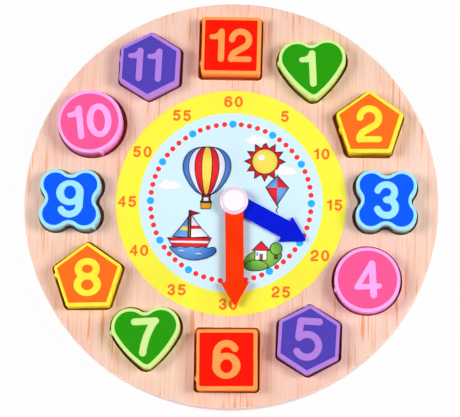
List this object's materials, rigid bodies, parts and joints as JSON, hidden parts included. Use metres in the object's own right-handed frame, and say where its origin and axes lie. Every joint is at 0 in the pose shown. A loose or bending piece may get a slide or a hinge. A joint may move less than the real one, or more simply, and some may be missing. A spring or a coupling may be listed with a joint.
{
  "type": "teaching clock",
  "caption": "Round plywood teaching clock that lies flat, with loose numbered shape blocks in cut-outs, a printed dial and two geared hands.",
  "frame": {"origin": "centre of the round board's back face, on the surface that the clock lies on", "axes": "+Z out of the dial, +Y towards twelve o'clock, +X towards three o'clock"},
  "size_m": [0.225, 0.225, 0.0161],
  "materials": {
    "plywood": "clear, thin satin lacquer on plywood",
    "block_orange": "satin paint on wood",
    "block_green": "satin paint on wood",
    "block_yellow": "satin paint on wood",
    "block_cyan": "satin paint on wood",
    "block_pink": "satin paint on wood",
    "block_violet": "satin paint on wood",
    "ink_red": "printed ink",
    "ink_dark_green": "printed ink",
    "ink_dark_orange": "printed ink",
    "ink_blue": "printed ink",
    "ink_rose": "printed ink",
    "ink_dark_violet": "printed ink",
    "ink_ring_yellow": "printed ink",
    "ink_disc_cyan": "printed ink",
    "ink_numeral_orange": "printed ink",
    "ink_minute_red": "printed ink",
    "ink_hour_blue": "printed ink",
    "hand_red": "moulded, smooth",
    "hand_blue": "moulded, smooth",
    "cap_white": "moulded, glossy",
    "gear_plastic": "moulded, natural",
    "steel": "turned, bright",
    "brass": "turned"
  },
  "bodies": {
    "board": {"front_panel": "plywood", "back_panel": "plywood", "dial_ring_print": "ink_ring_yellow", "dial_disc_print": "ink_disc_cyan", "minute_numerals": "ink_numeral_orange", "minute_dots": "ink_minute_red", "hour_dots": "ink_hour_blue", "centre_bush": "brass", "gear_cover": "gear_plastic", "cover_screws": "steel", "idler_pin": "steel", "friction_washer": "steel"},
    "minute_work": {"minute_arbor": "steel", "minute_pinion": "brass", "minute_hand": "hand_red", "hand_washer": "cap_white", "hub_cap": "cap_white"},
    "hour_work": {"hour_wheel": "gear_plastic", "hour_hand": "hand_blue"},
    "idler": {"idler_gear": "gear_plastic"},
    "block_01": {"block_01": "block_green", "number_print_01": "ink_dark_green"},
    "block_02": {"block_02": "block_yellow", "number_print_02": "ink_dark_orange"},
    "block_03": {"block_03": "block_cyan", "number_print_03": "ink_blue"},
    "block_04": {"block_04": "block_pink", "number_print_04": "ink_rose"},
    "block_05": {"block_05": "block_violet", "number_print_05": "ink_dark_violet"},
    "block_06": {"block_06": "block_orange", "number_print_06": "ink_red"},
    "block_07": {"block_07": "block_green", "number_print_07": "ink_dark_green"},
    "block_08": {"block_08": "block_yellow", "number_print_08": "ink_dark_orange"},
    "block_09": {"block_09": "block_cyan", "number_print_09": "ink_blue"},
    "block_10": {"block_10": "block_pink", "number_print_10": "ink_rose"},
    "block_11": {"block_11": "block_violet", "number_print_11": "ink_dark_violet"},
    "block_12": {"block_12": "block_orange", "number_print_12": "ink_red"}
  },
  "joints": [
    {"name": "minute_turn", "type": "hinge", "parent": "board", "child": "minute_work", "pos_m": [0.0019, 0, 0.01], "axis": [0, 0, -1], "continuous": true},
    {"name": "hour_turn", "type": "hinge", "parent": "board", "child": "hour_work", "pos_m": [0.0019, 0, 0.01], "axis": [0, 0, -1], "continuous": true},
    {"name": "idler_turn", "type": "hinge", "parent": "board", "child": "idler", "pos_m": [0.0019, -0.018, 0.005], "axis": [0, 0, -1], "continuous": true},
    {"name": "lift_01", "type": "slide", "parent": "board", "child": "block_01", "axis": [0, 0, 1], "range_m": [0, 0.02]},
    {"name": "lift_02", "type": "slide", "parent": "board", "child": "block_02", "axis": [0, 0, 1], "range_m": [0, 0.02]},
    {"name": "lift_03", "type": "slide", "parent": "board", "child": "block_03", "axis": [0, 0, 1], "range_m": [0, 0.02]},
    {"name": "lift_04", "type": "slide", "parent": "board", "child": "block_04", "axis": [0, 0, 1], "range_m": [0, 0.02]},
    {"name": "lift_05", "type": "slide", "parent": "board", "child": "block_05", "axis": [0, 0, 1], "range_m": [0, 0.02]},
    {"name": "lift_06", "type": "slide", "parent": "board", "child": "block_06", "axis": [0, 0, 1], "range_m": [0, 0.02]},
    {"name": "lift_07", "type": "slide", "parent": "board", "child": "block_07", "axis": [0, 0, 1], "range_m": [0, 0.02]},
    {"name": "lift_08", "type": "slide", "parent": "board", "child": "block_08", "axis": [0, 0, 1], "range_m": [0, 0.02]},
    {"name": "lift_09", "type": "slide", "parent": "board", "child": "block_09", "axis": [0, 0, 1], "range_m": [0, 0.02]},
    {"name": "lift_10", "type": "slide", "parent": "board", "child": "block_10", "axis": [0, 0, 1], "range_m": [0, 0.02]},
    {"name": "lift_11", "type": "slide", "parent": "board", "child": "block_11", "axis": [0, 0, 1], "range_m": [0, 0.02]},
    {"name": "lift_12", "type": "slide", "parent": "board", "child": "block_12", "axis": [0, 0, 1], "range_m": [0, 0.02]}
  ],
  "couplings": [
    {"joint": "hour_turn", "follows": "minute_turn", "ratio": 0.083333},
    {"joint": "idler_turn", "follows": "minute_turn", "ratio": -0.33333}
  ]
}
